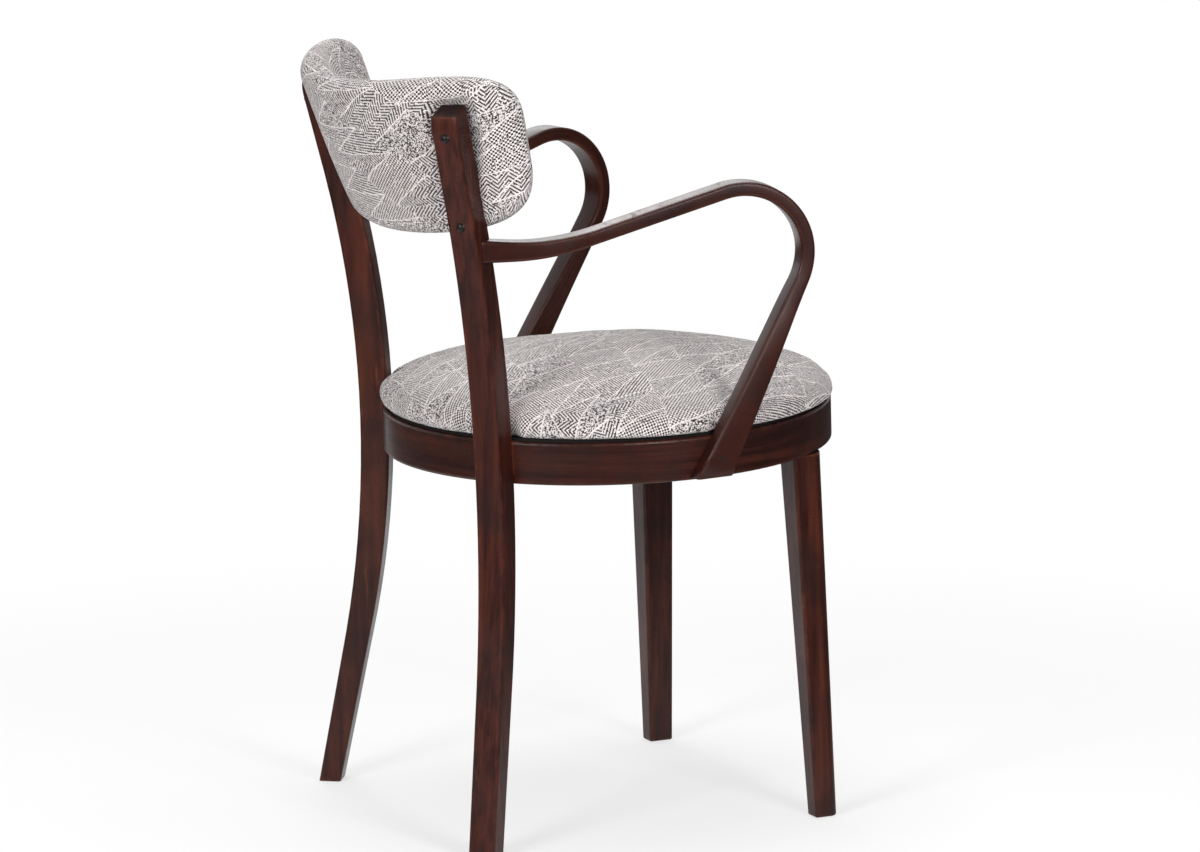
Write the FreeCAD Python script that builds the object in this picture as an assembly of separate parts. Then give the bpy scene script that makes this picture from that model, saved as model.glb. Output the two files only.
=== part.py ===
import FreeCAD, Part
import math
import os

# Bentwood armchair with a round seat ring, looped arms, and an upholstered seat and back panel.
# Millimetres. +Z is up, the front faces -Y, and the sitter's left is +X.
# Pieces are built round the axis of the seat ring, with the floor at Z = 0. At the end they are moved
# along Y together, so that the origin is the bottom centre of the whole chair.
# Angles round the ring are measured from the rear (+Y) towards the sitter's left (+X).

# Seat ring
ring_radius = 230.0
ring_wall = 22.0
ring_height = 43.0
ring_edge_round = 2.5
ring_floor_height = 372.5
seat_slope = 1.56

# Rear legs, one piece from the floor to the back posts
leg_angle = 35.6
leg_width = 29.2
leg_foot_depth = 21.5
leg_waist_depth = 30.0
leg_top_depth = 27.0
leg_waist_height = 380.0
leg_top_height = 748.5
leg_top_drop = 2.0
leg_top_round = 15.0
leg_top_round_in = 3.0
leg_bend_radius = 1100.0
leg_lower_bend_end = 160.0
leg_upper_bend_end = 650.0
leg_side_tilt = 2.7
leg_housing = 4.0
leg_edge_round = 3.0
foot_round = 2.0

# Front legs
front_leg_angle = 128.6
front_leg_inset = 12.0
front_leg_top_size_x = 32.0
front_leg_top_size_y = 38.0
front_leg_foot_size_x = 19.5
front_leg_foot_size_y = 26.5
front_leg_splay_x = 16.0
front_leg_splay_y = 16.2
front_leg_outer_round = 21.0
front_leg_foot_outer_round = 9.0
front_leg_edge_round = 2.5
front_leg_tongue = 38.0

# Arms, each bent from one strip
arm_reach = 104.5
arm_top_height = 660.0
arm_bend_radius = 65.0
arm_post_height = 606.0
arm_rise_angle = 17.0
arm_knee_radius = 270.0
arm_offset = 208.5
arm_splay = 12.4
arm_turn_start = 155.0
arm_turn_radius = 176.0
arm_lap_back = 5.0
arm_lap_seat = 1.2
arm_lap_clear = 3.5
arm_slim_depth = 14.0
arm_post_depth = 21.5
arm_lap_depth = 34.0
arm_width = 28.0
arm_post_width = 20.0
arm_lap_width = 18.0
arm_edge_round = 4.0

# Seat upholstery
board_radius = 214.0
board_thickness = 9.0
dust_cover_radius = 223.0
dust_cover_thickness = 3.0
cover_thickness = 1.5
pad_radius = 234.5
pad_lift = 8.0
pad_crown = 49.0
pad_tilt = 2.0
pad_shoulder_radius = 190.0
pad_shoulder_height = 25.0
pad_edge_drop = 4.0
pad_edge_in = 3.5
pad_draw_in = 7.0
pad_skirt = 14.0
flange_width = 14.0
soft_clearance = 0.3

# Back panel
back_radius = 246.0
back_centre_height = 684.0
back_centre_depth = 287.0
back_lean = 20.0
back_height = 165.0
back_half_width = 218.0
back_edge_thickness = 32.0
back_front_crown = 6.0
back_rear_crown = 2.0
back_flare = 6.0
back_end_drop = 10.0
back_end_rise = 6.0
back_end_slant = 0.17
back_top_squareness = 3.6
back_bottom_squareness = 4.6
back_end_squareness = 14.0
core_thickness = 8.0
core_top_margin = 16.0
core_bottom_margin = 6.5
core_end_margin = 16.0
core_corner_round = 34.0

# Blocks and fasteners
block_width = 46.0
block_depth = 24.0
block_height = 28.0
block_angle_rear = 17.0
block_angle_front = 158.0
block_screw_spread = 13.0
wood_screw_radius = 2.0
wood_screw_head_radius = 4.0
wood_screw_head_height = 2.4
block_screw_length = 38.0
seat_screw_length = 38.0
front_leg_screw_length = 30.0
front_leg_screw_offset = 6.0
arm_screw_length = 36.0
lower_screw_height = 12.0
upper_screw_height = 31.0
bolt_radius = 3.0
bolt_head_radius = 6.0
bolt_head_height = 4.0
bolt_length = 37.0
washer_radius = 8.0
washer_thickness = 1.5
washer_spot = 0.3
dowel_radius = 4.0
dowel_in_post = 14.0
dowel_in_arm = 16.0
back_screw_upper = 725.5
back_screw_lower = 635.0
back_screw_radius = 2.5
back_screw_head_radius = 5.0
back_screw_head_height = 3.2
nut_flange_radius = 6.5
nut_flange_thickness = 1.8
nut_flange_sink = 1.0
nut_barrel_radius = 3.8
nut_barrel_length = 6.4
staple_count = 24
staple_crown = 10.0
staple_wire = 0.8
staple_leg = 6.0

V = FreeCAD.Vector
UP = V(0, 0, 1)
ring_inner = ring_radius - ring_wall
side_names = {"left": 1, "right": -1}


def polar(radius, degrees, height=0.0):
    """Point at a radius and an angle from the rear towards the sitter's left."""
    a = math.radians(degrees)
    return V(radius * math.sin(a), radius * math.cos(a), height)


def blend(a, b, share):
    """Value a share of the way from a to b."""
    return a + (b - a) * share


def unit(vector):
    """Copy of a vector with length one."""
    return V(vector).normalize()


def placed(shape, placement):
    """Copy of a shape moved by a placement."""
    moved = shape.copy()
    moved.Placement = placement.multiply(moved.Placement)
    return moved


def other_side(shape):
    """Mirror image of a left-hand piece in the middle plane of the chair."""
    return shape.mirror(V(0, 0, 0), V(1, 0, 0))


def both_sides(shapes):
    """Left-hand shapes followed by their mirror images."""
    return list(shapes) + [other_side(shape) for shape in shapes]


def cut_all(shape, tools):
    """Shape with each tool cut away."""
    for tool in tools:
        shape = shape.cut(tool)
    return shape


def three_point_arc(start, middle, end):
    """Edge of the circular arc through three points."""
    return Part.Arc(start, middle, end).toShape()


def line(start, end):
    """Straight edge between two points."""
    return Part.LineSegment(start, end).toShape()


def tangent_arc(start, direction, end):
    """Arc that leaves start along direction and ends at end, with its own direction there."""
    chord = end.sub(start)
    heading = unit(direction)
    normal = chord.sub(heading * chord.dot(heading))
    half_turn = math.atan2(normal.Length, chord.dot(heading))
    side = unit(normal)
    middle_heading = heading * math.cos(half_turn / 2) + side * math.sin(half_turn / 2)
    middle = start.add(middle_heading * (chord.Length / (2 * math.cos(half_turn / 2))))
    end_heading = heading * math.cos(2 * half_turn) + side * math.sin(2 * half_turn)
    return three_point_arc(start, middle, end), end_heading


def rounded_section(centre, axis_a, axis_b, size_a, size_b, rounds):
    """Rectangle across two axes with its own radius at each corner: ++, -+, --, +-."""
    corners = [(1, 1), (-1, 1), (-1, -1), (1, -1)]
    ends = []
    for (a, b), radius in zip(corners, rounds):
        tip = centre.add(axis_a * (a * size_a / 2)).add(axis_b * (b * size_b / 2))
        along_a = tip.sub(axis_a * (a * radius))
        along_b = tip.sub(axis_b * (b * radius))
        cut_back = radius * (1 - math.sqrt(0.5))
        middle = tip.sub(axis_a * (a * cut_back)).sub(axis_b * (b * cut_back))
        first, last = (along_b, along_a) if a == b else (along_a, along_b)
        ends.append((first, middle, last))
    edges = []
    for i, (first, middle, last) in enumerate(ends):
        edges.append(three_point_arc(first, middle, last))
        edges.append(line(last, ends[(i + 1) % 4][0]))
    return Part.Wire(edges)


def wood_screw(start, direction, length):
    """Countersunk screw whose flat head lies at start and whose shank runs along direction."""
    head = Part.makeCone(wood_screw_head_radius, wood_screw_radius, wood_screw_head_height, start, direction)
    shank = Part.makeCylinder(wood_screw_radius, length, start, direction)
    return head.fuse(shank).removeSplitter()


seat_place = FreeCAD.Placement(V(0, 0, ring_floor_height), FreeCAD.Rotation(V(1, 0, 0), -seat_slope))
floor_box = Part.makeBox(2000, 2000, 500, V(-1000, -1000, -500))


# Rear legs. The leg is flat: its outline lies in a plane through the ring's axis, tilted a little sideways.
leg_waist_radius = ring_radius + leg_waist_depth / 2 - leg_housing
leg_place = FreeCAD.Placement(
    polar(leg_waist_radius, leg_angle, leg_waist_height), FreeCAD.Rotation(UP, 90 - leg_angle)
).multiply(
    FreeCAD.Placement(V(0, 0, 0), FreeCAD.Rotation(V(1, 0, 0), -leg_side_tilt))
).multiply(
    FreeCAD.Placement(V(0, 0, -leg_waist_height), FreeCAD.Rotation())
)


def leg_slope(height):
    """Outward lean of the leg's centre line: an arc at the waist, straight beyond the bend's ends."""
    bent = min(max(height, leg_lower_bend_end), leg_upper_bend_end) - leg_waist_height
    return bent / math.sqrt(leg_bend_radius ** 2 - bent ** 2)


def leg_offset(height):
    """Distance of the leg's centre line outside its waist."""
    bent = min(max(height, leg_lower_bend_end), leg_upper_bend_end)
    rise = bent - leg_waist_height
    arc = leg_bend_radius - math.sqrt(leg_bend_radius ** 2 - rise ** 2)
    return arc + (height - bent) * leg_slope(height)


def leg_depth(height):
    """Depth of the leg, which thins from the waist to the foot and to the top."""
    if height < leg_waist_height:
        return blend(leg_foot_depth, leg_waist_depth, max(height, 0.0) / leg_waist_height)
    share = (height - leg_waist_height) / (leg_top_height - leg_waist_height)
    return blend(leg_waist_depth, leg_top_depth, share)


def leg_face_point(height, side, grow=0.0):
    """Point of the leg's outer (+1) or inner (-1) face, in the leg's own plane, and the face's normal."""
    slope = leg_slope(height)
    normal = unit(V(1, 0, -slope)) * side
    centre = V(leg_offset(height), 0, height)
    return centre.add(normal * (leg_depth(height) / 2 + grow)), normal


def leg_edge(side, grow):
    """Edges of one face's outline, from below the floor to the top, where the outer face is rounded in."""
    top = leg_top_height - side * leg_top_drop
    heights = (-foot_overrun, leg_lower_bend_end, leg_waist_height, leg_upper_bend_end, top)
    points = [leg_face_point(height, side, grow)[0] for height in heights]
    edges = [line(points[0], points[1]), three_point_arc(points[1], points[2], points[3])]
    if side < 0:
        return edges + [line(points[3], points[4])], points[0], points[4]
    turn, normal = leg_face_point(top - leg_top_round, side, grow)
    end = points[4].sub(normal * leg_top_round_in)
    rounding, heading = tangent_arc(turn, turn.sub(points[3]), end)
    return edges + [line(points[3], turn), rounding], points[0], end


def rear_leg(grow=0.0):
    """Left rear leg. With grow it is the same leg made larger all round, as a tool for soft pieces."""
    outer, outer_foot, outer_top = leg_edge(1, grow)
    inner, inner_foot, inner_top = leg_edge(-1, grow)
    edges = outer + [line(outer_top, inner_top)] + inner + [line(inner_foot, outer_foot)]
    outline = Part.Face(Part.Wire(Part.__sortEdges__(edges)))
    width = leg_width + 2 * grow
    outline.translate(V(0, -width / 2, 0))
    body = outline.extrude(V(0, width, 0))
    if grow == 0.0:
        long_edges = [e for e in body.Edges if abs(e.Vertexes[0].Y - e.Vertexes[1].Y) < 0.1
                      and e.BoundBox.ZMin > -foot_overrun + 10 or e.BoundBox.ZLength > 100]
        body = body.makeFillet(leg_edge_round, long_edges)
    return placed(body, leg_place).cut(floor_box)


foot_overrun = 40.0
rear_leg_left = rear_leg()


# Seat ring, with a flat seat cut for each rear leg
ring_body = Part.makeCylinder(ring_radius, ring_height).cut(Part.makeCylinder(ring_inner, ring_height))
rim_edges = [e for e in ring_body.Edges if isinstance(e.Curve, Part.Circle) and e.Curve.Radius > ring_inner + 1]
ring_body = ring_body.makeFillet(ring_edge_round, rim_edges)
seat_ring = cut_all(placed(ring_body, seat_place), both_sides([rear_leg_left]))
ring_disc = placed(Part.makeCylinder(ring_radius, ring_height), seat_place)
ring_bore = Part.makeCylinder(ring_inner, ring_height)


# Front legs: a tapered shaft under the ring, with a tongue that stands against the ring's inner wall
front_top = polar(ring_radius - front_leg_inset, front_leg_angle)
front_foot = V(front_top.x + front_leg_splay_x, front_top.y - front_leg_splay_y, 0)


def front_leg_section(centre, size_x, size_y, outer_round):
    """Level section of a left front leg, whose outer front corner has the large radius."""
    rounds = (front_leg_edge_round, front_leg_edge_round, front_leg_edge_round, outer_round)
    return rounded_section(centre, V(1, 0, 0), V(0, 1, 0), size_x, size_y, rounds)


def front_leg():
    """Left front leg, with a softened foot."""
    top = front_leg_section(front_top, front_leg_top_size_x, front_leg_top_size_y, front_leg_outer_round)
    foot = front_leg_section(front_foot, front_leg_foot_size_x, front_leg_foot_size_y,
                             front_leg_foot_outer_round)
    shaft = Part.makeLoft([foot, placed(top, seat_place)], True, True)
    foot_edges = [e for e in shaft.Edges if e.BoundBox.ZMax < 0.01]
    shaft = shaft.makeFillet(foot_round, foot_edges)
    tongue = Part.Face(top).extrude(V(0, 0, front_leg_tongue)).common(ring_bore)
    return shaft.fuse(placed(tongue, seat_place)).removeSplitter()


front_leg_left = front_leg()


# Arms. Seen from the side: a level run from the post, a wide knee, a rising run, a tight bend, a straight
# descent to the ring. Seen from above the run splays outwards to the front and turns in to the post.
bend_back = arm_bend_radius - arm_reach
bend_height = arm_top_height - arm_bend_radius
rise = math.radians(arm_rise_angle)
run_end_y = bend_back + arm_bend_radius * math.sin(rise)
run_end_z = bend_height + arm_bend_radius * math.cos(rise)
knee_y = run_end_y + (run_end_z - arm_post_height) / math.tan(rise)
knee_tangent = arm_knee_radius * math.tan(rise / 2)
lap_z = ring_floor_height
lap_gap = V(0, arm_lap_back - bend_back, lap_z - bend_height)
lap_turn = math.acos(arm_bend_radius / lap_gap.Length)
bend_start = math.pi / 2 - rise
bend_end = math.atan2(lap_gap.z, lap_gap.y) - lap_turn + 2 * math.pi
descent_y = bend_back + arm_bend_radius * math.cos(bend_end)
descent_z = bend_height + arm_bend_radius * math.sin(bend_end)
splay_slope = math.tan(math.radians(arm_splay))
lap_x = ring_radius - arm_lap_seat + arm_lap_width / 2
arm_overrun = 20.0
bend_stations = 9
descent_shares = (0.2, 0.4, 0.6, 0.8, 1.0)


def run_x(y):
    """Distance of the arm's run from the middle plane, and its slope along Y."""
    turn = max(y - arm_turn_start, 0.0)
    x = arm_offset - y * splay_slope - turn ** 2 / (2 * arm_turn_radius)
    return x, -splay_slope - turn / arm_turn_radius


def run_station(y, z, forward, up, depth, width):
    """Station on the run or the bend: centre, heading, crosswise axis, depth and width."""
    x, slope = run_x(y)
    heading = unit(V(slope * forward, forward, up))
    crosswise = unit(V(1, -slope, 0))
    return V(x, y, z), heading, crosswise, depth, width


def descent_station(share):
    """Station on the straight descent, which eases outwards until it lies along the ring."""
    y = blend(descent_y, arm_lap_back, share)
    z = blend(descent_z, lap_z, share)
    bend_x = run_x(descent_y)[0]
    x = lap_x + (bend_x - lap_x) * (1 - share) ** 2
    x_step = -2 * (bend_x - lap_x) * (1 - share)
    heading = unit(V(x_step, arm_lap_back - descent_y, lap_z - descent_z))
    twist = math.radians(blend(arm_splay, 0.0, min(share, 1.0)))
    depth = blend(arm_slim_depth, arm_lap_depth, share)
    width = blend(arm_width, arm_lap_width, share)
    return V(x, y, z), heading, V(math.cos(twist), math.sin(twist), 0), depth, width


def arm_stations():
    """Stations from inside the post to just below the ring."""
    post_y = knee_y + knee_tangent + arm_overrun * 2
    stations = []
    for share, y in ((0.0, post_y), (0.35, knee_y + knee_tangent)):
        depth = blend(arm_post_depth, arm_slim_depth, share)
        width = blend(arm_post_width, arm_width, share)
        stations.append(run_station(y, arm_post_height, -1.0, 0.0, depth, width))
    for share in (0.5, 1.0):
        turn = rise * share
        y = knee_y + knee_tangent - arm_knee_radius * math.sin(turn)
        z = arm_post_height + arm_knee_radius * (1 - math.cos(turn))
        depth = blend(arm_post_depth, arm_slim_depth, 0.35 + 0.65 * share)
        width = blend(arm_post_width, arm_width, 0.35 + 0.65 * share)
        stations.append(run_station(y, z, -math.cos(turn), math.sin(turn), depth, width))
    for i in range(bend_stations):
        turn = blend(bend_start, bend_end, i / (bend_stations - 1))
        y = bend_back + arm_bend_radius * math.cos(turn)
        z = bend_height + arm_bend_radius * math.sin(turn)
        stations.append(run_station(y, z, -math.sin(turn), math.cos(turn), arm_slim_depth, arm_width))
    stations += [descent_station(share) for share in descent_shares]
    overrun = 1 + arm_overrun / (descent_z - lap_z)
    stations.append(descent_station(overrun))
    return stations


def arm_body(grow=0.0):
    """Left arm as one loft, still long at both ends. With grow it is larger all round."""
    sections = []
    for centre, heading, crosswise, depth, width in arm_stations():
        across = unit(crosswise.sub(heading * crosswise.dot(heading)))
        over = heading.cross(across)
        rounds = (arm_edge_round + grow,) * 4
        sections.append(rounded_section(centre, across, over, width + 2 * grow, depth + 2 * grow, rounds))
    return Part.makeLoft(sections, True, False)


def arm():
    """Left arm, cut to the post's side, to the ring's outer wall and level with the ring's underside."""
    below = placed(Part.makeBox(1000, 1000, 200, V(-500, -500, arm_lap_clear - 200)), seat_place)
    return cut_all(arm_body(), [rear_leg_left, ring_disc, below])


arm_left = arm()


# Seat upholstery, built on the ring's top in the seat's own frame
pad_base = ring_height + dust_cover_thickness
board_base = pad_base + cover_thickness
pad_place = FreeCAD.Placement(V(0, 0, pad_base + pad_lift), FreeCAD.Rotation(V(1, 0, 0), pad_tilt))


def pad_dome(inset):
    """Crowned round cushion whose rim draws in below its widest line, smaller by inset all round."""
    radius = pad_radius - inset
    crown = V(0, 0, pad_crown - inset)
    shoulder = V(pad_shoulder_radius, 0, pad_shoulder_height - inset)
    edge = V(radius - pad_edge_in, 0, pad_edge_drop)
    skirt = V(radius - pad_draw_in, 0, -pad_skirt)
    widest = V(radius, 0, -pad_edge_drop)
    crown_arc, heading = tangent_arc(crown, V(1, 0, 0), shoulder)
    shoulder_arc, heading = tangent_arc(shoulder, heading, edge)
    rim_arc = three_point_arc(edge, widest, skirt)
    axis_foot = V(0, 0, -pad_skirt)
    edges = [crown_arc, shoulder_arc, rim_arc, line(skirt, axis_foot), line(axis_foot, crown)]
    dome = Part.Face(Part.Wire(edges)).revolve(V(0, 0, 0), UP, 360)
    below = Part.makeBox(1000, 1000, 200, V(-500, -500, pad_base + inset - 200))
    return placed(dome, pad_place).cut(below)


soft_tools = both_sides([rear_leg(soft_clearance), arm_body(soft_clearance)])
inner_tools = both_sides([rear_leg(soft_clearance + cover_thickness), arm_body(soft_clearance + cover_thickness)])
board_local = Part.makeCylinder(board_radius, board_thickness, V(0, 0, board_base))
outer_dome = cut_all(placed(pad_dome(0.0), seat_place), soft_tools)
inner_dome = cut_all(placed(pad_dome(cover_thickness), seat_place), inner_tools)
flange_hole = Part.makeCylinder(board_radius - flange_width, ring_height, V(0, 0, ring_height))
seat_board = placed(board_local, seat_place)
seat_foam = inner_dome.cut(seat_board)
seat_cover = outer_dome.cut(inner_dome).cut(placed(flange_hole.cut(board_local), seat_place).common(
    placed(Part.makeCylinder(board_radius, cover_thickness, V(0, 0, pad_base)), seat_place)))
dust_cover_local = Part.makeCylinder(dust_cover_radius, dust_cover_thickness, V(0, 0, ring_height))
seat_dust_cover = placed(dust_cover_local, seat_place)


# Back panel, built round its own upright axis and then leaned back
back_middle_radius = back_radius - back_edge_thickness / 2
lean = math.radians(back_lean)
back_outer_radius = back_radius + back_rear_crown
back_place = FreeCAD.Placement(
    V(0, back_centre_depth - back_outer_radius * math.cos(lean),
      back_centre_height + back_outer_radius * math.sin(lean)),
    FreeCAD.Rotation(V(1, 0, 0), -back_lean))
back_stations = (0.0, 0.3, 0.55, 0.72, 0.83, 0.9, 0.945, 0.975, 0.993)


def back_section(share, inset):
    """Closed pillow section at a share of the half width: both faces crowned, edges fully round."""
    reach = share * (back_half_width - inset)
    angle = reach / back_middle_radius
    size = abs(share)
    outward = V(math.sin(angle), math.cos(angle), 0)
    sideways = V(math.cos(angle), -math.sin(angle), 0)
    upward = unit(V(0, 0, 1).add(sideways * (back_end_slant * share)))
    middle = outward * back_middle_radius
    highest = back_height / 2 - inset + back_end_rise * size ** 2
    top = highest * (1 - size ** back_top_squareness) ** (1 / back_top_squareness)
    lowest = back_height / 2 - inset + back_end_drop * size ** 2
    bottom = lowest * (1 - size ** back_bottom_squareness) ** (1 / back_bottom_squareness)
    fullness = (1 - size ** back_end_squareness) ** 0.5
    flare = back_flare * fullness
    half = (back_edge_thickness / 2 - inset) * fullness
    rear_crown = back_rear_crown * fullness
    front_crown = back_front_crown * fullness

    def at(out, up):
        return middle.add(outward * out).add(upward * up)

    diagonal = half * math.sqrt(0.5)
    low = half - bottom
    high = top - half
    centre = (top - bottom) / 2
    rear_low = at(half, low)
    rear_high = at(half + flare, high)
    tip_high = at(flare, top)
    front_high = at(flare - half, high)
    front_low = at(-half, low)
    tip_low = at(0, -bottom)
    edges = [
        three_point_arc(rear_low, at(half + rear_crown, centre), rear_high),
        three_point_arc(rear_high, at(flare + diagonal, high + diagonal), tip_high),
        three_point_arc(tip_high, at(flare - diagonal, high + diagonal), front_high),
        three_point_arc(front_high, at(-half - front_crown, centre), front_low),
        three_point_arc(front_low, at(-diagonal, low - diagonal), tip_low),
        three_point_arc(tip_low, at(diagonal, low - diagonal), rear_low),
    ]
    return Part.Wire(edges)


def back_body(inset):
    """Padded panel as one loft round its axis, smaller by inset all round."""
    shares = [-share for share in reversed(back_stations[1:])] + list(back_stations)
    return placed(Part.makeLoft([back_section(share, inset) for share in shares], True, False), back_place)


def back_core():
    """Bent plywood panel with round corners."""
    top = back_height / 2 - core_top_margin
    bottom = core_bottom_margin - back_height / 2
    half_angle = (back_half_width - core_end_margin) / back_middle_radius
    inner = back_middle_radius - core_thickness / 2
    strip = Part.makeCylinder(inner + core_thickness, top - bottom, V(0, 0, bottom))
    strip = strip.cut(Part.makeCylinder(inner, top - bottom, V(0, 0, bottom)))
    half_span = back_middle_radius * math.sin(half_angle)
    rounds = (core_corner_round,) * 4
    centre = V(0, 0, (top + bottom) / 2)
    outline = rounded_section(centre, V(1, 0, 0), UP, 2 * half_span, top - bottom, rounds)
    window = Part.Face(outline).extrude(V(0, back_radius + core_thickness, 0))
    return placed(strip.common(window), back_place)


middle_drum = placed(Part.makeCylinder(back_middle_radius, 2 * back_height, V(0, 0, -back_height)), back_place)
post_tools = both_sides([rear_leg(0.0)])
post_inner_tools = both_sides([rear_leg(cover_thickness)])
back_outer = cut_all(back_body(0.0), post_tools)
back_inner = cut_all(back_body(cover_thickness), post_inner_tools)
backrest_panel = back_core()
back_cover = back_outer.cut(back_inner)
back_filling = back_inner.cut(backrest_panel)
backrest_front_cover = back_cover.common(middle_drum)
backrest_rear_cover = back_cover.cut(middle_drum)
backrest_front_foam = back_filling.common(middle_drum)
backrest_rear_foam = back_filling.cut(middle_drum)


# Fasteners, built on the left and mirrored
def seat_direction(vector):
    """Direction of the seat's own frame, turned into the chair's."""
    return seat_place.Rotation.multVec(vector)


def block(angle):
    """Glued block whose outer face follows the ring's inner wall."""
    body = Part.makeBox(block_width, block_depth + ring_wall / 2, block_height,
                        V(-block_width / 2, ring_inner - block_depth, ring_height - block_height))
    body = body.common(ring_bore)
    body.rotate(V(0, 0, 0), UP, -angle)
    return placed(body, seat_place)


def block_fasteners(angle):
    """Two screws from a block into the ring, and one up through the block into the board."""
    inner = ring_inner - block_depth
    outward = polar(1.0, angle)
    sideways = polar(1.0, angle + 90)
    height = ring_height - block_height / 2
    fixings = []
    for step in (-block_screw_spread, block_screw_spread):
        start = polar(inner, angle, height).add(sideways * step)
        fixings.append(placed(wood_screw(start, outward, block_screw_length), seat_place))
    below = polar(ring_inner - block_depth / 2, angle, ring_height - block_height)
    return fixings, placed(wood_screw(below, UP, seat_screw_length), seat_place)


def leg_bolt(height):
    """Bolt from inside the ring into a rear leg, and its washer in a spot-faced seat."""
    outward = polar(1.0, leg_angle)
    seat = ring_inner + washer_spot - washer_thickness
    start = polar(seat, leg_angle, height)
    shank = Part.makeCylinder(bolt_radius, bolt_length, start, outward)
    head = Part.makeCylinder(bolt_head_radius, bolt_head_height, start, outward * -1)
    washer = Part.makeCylinder(washer_radius, washer_thickness, start, outward)
    bolt = head.fuse(shank).removeSplitter()
    return placed(bolt, seat_place), placed(washer.cut(shank), seat_place)


def front_leg_screws():
    """Two screws through the tongue into the ring, one from each flat inner face."""
    near = V(front_top.x - front_leg_top_size_x / 2, front_top.y + front_leg_screw_offset, lower_screw_height)
    far = V(front_top.x - front_leg_screw_offset, front_top.y + front_leg_top_size_y / 2, upper_screw_height)
    return [placed(wood_screw(near, V(1, 0, 0), front_leg_screw_length), seat_place),
            placed(wood_screw(far, V(0, -1, 0), front_leg_screw_length), seat_place)]


def arm_screws():
    """Two screws from inside the ring into the arm's lap, on the line of the descent."""
    lean_back = (arm_lap_back - descent_y) / (descent_z - lap_z)
    screws = []
    for height in (lower_screw_height, upper_screw_height):
        y = arm_lap_back - height * lean_back
        start = V(math.sqrt(ring_inner ** 2 - y ** 2), y, height)
        screws.append(placed(wood_screw(start, V(1, 0, 0), arm_screw_length), seat_place))
    return screws


def arm_dowel():
    """Pin across the butt joint of arm and post, halfway between the arm's line and the face's normal."""
    face_normal = leg_place.Rotation.multVec(V(0, -1, 0))
    mid_y = arm_turn_start
    for _ in range(20):
        centre = V(run_x(mid_y)[0], mid_y, arm_post_height)
        face_point = leg_place.multVec(V(leg_offset(arm_post_height), -leg_width / 2, arm_post_height))
        gap = centre.sub(face_point).dot(face_normal)
        mid_y = mid_y + gap / (face_normal.x * -run_x(mid_y)[1] - face_normal.y)
    centre = V(run_x(mid_y)[0], mid_y, arm_post_height)
    along = unit(V(-run_x(mid_y)[1], -1, 0))
    direction = unit(along.add(face_normal))
    start = centre.sub(direction * dowel_in_post)
    return Part.makeCylinder(dowel_radius, dowel_in_post + dowel_in_arm, start, direction)


def core_distance(start, direction, radius):
    """Distance along a line to the first meeting with a drum round the back panel's axis."""
    back_frame = back_place.inverse()
    p = back_frame.multVec(start)
    d = back_frame.Rotation.multVec(direction)
    a = d.x ** 2 + d.y ** 2
    b = p.x * d.x + p.y * d.y
    c = p.x ** 2 + p.y ** 2 - radius ** 2
    return (-b - math.sqrt(b ** 2 - a * c)) / a


def back_fixing(height):
    """Dome-headed screw through a post into the core, and the flanged nut behind it."""
    surface, normal = leg_face_point(height, 1)
    start = leg_place.multVec(surface)
    inward = leg_place.Rotation.multVec(normal) * -1
    reach = core_distance(start, inward, back_middle_radius - core_thickness / 2)
    shank = Part.makeCylinder(back_screw_radius, reach, start, inward)
    crown = V(0, 0, back_screw_head_height)
    rim = V(back_screw_head_radius, 0, 0)
    neck = V(back_screw_radius, 0, 0)
    tip = V(back_screw_radius, 0, -reach)
    tip_middle = V(0, 0, -reach)
    dome, _ = tangent_arc(crown, V(1, 0, 0), rim)
    edges = [dome, line(rim, neck), line(neck, tip), line(tip, tip_middle), line(tip_middle, crown)]
    screw = Part.Face(Part.Wire(edges)).revolve(V(0, 0, 0), UP, 360)
    screw = placed(screw, FreeCAD.Placement(start, FreeCAD.Rotation(UP, inward * -1)))
    flange_start = start.add(inward * (reach - nut_flange_sink))
    flange = Part.makeCylinder(nut_flange_radius, nut_flange_thickness, flange_start, inward)
    barrel = Part.makeCylinder(nut_barrel_radius, nut_barrel_length, flange_start, inward * -1)
    nut = flange.fuse(barrel).removeSplitter().cut(shank)
    return screw, nut


def staples():
    """Staples round the board's underside, with crowns across the cover's turned-in flange."""
    radius = board_radius - flange_width / 2
    group = []
    for i in range(staple_count):
        crown = Part.makeBox(staple_crown, staple_wire, staple_wire,
                             V(-staple_crown / 2, radius, pad_base - staple_wire))
        legs = [Part.makeBox(staple_wire, staple_wire, staple_leg, V(x, radius, pad_base))
                for x in (-staple_crown / 2, staple_crown / 2 - staple_wire)]
        staple = crown.fuse(legs).removeSplitter()
        staple.rotate(V(0, 0, 0), UP, 360.0 * (i + 0.5) / staple_count)
        group.append(placed(staple, seat_place))
    return group


block_places = {"front": block_angle_front, "rear": block_angle_rear}
blocks = {name: block(angle) for name, angle in block_places.items()}
block_fixings = [block_fasteners(angle) for angle in block_places.values()]
block_screws = both_sides([screw for pair, _ in block_fixings for screw in pair])
seat_screws = both_sides([screw for _, screw in block_fixings])
leg_fixings = [leg_bolt(height) for height in (lower_screw_height, upper_screw_height)]
leg_bolts = both_sides([bolt for bolt, _ in leg_fixings])
leg_washers = both_sides([washer for _, washer in leg_fixings])
leg_screws = both_sides(front_leg_screws())
lap_screws = both_sides(arm_screws())
arm_dowels = both_sides([arm_dowel()])
back_fixings = [back_fixing(height) for height in (back_screw_upper, back_screw_lower)]
back_screws = both_sides([screw for screw, _ in back_fixings])
back_nuts = both_sides([nut for _, nut in back_fixings])
cover_staples = staples()


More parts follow.
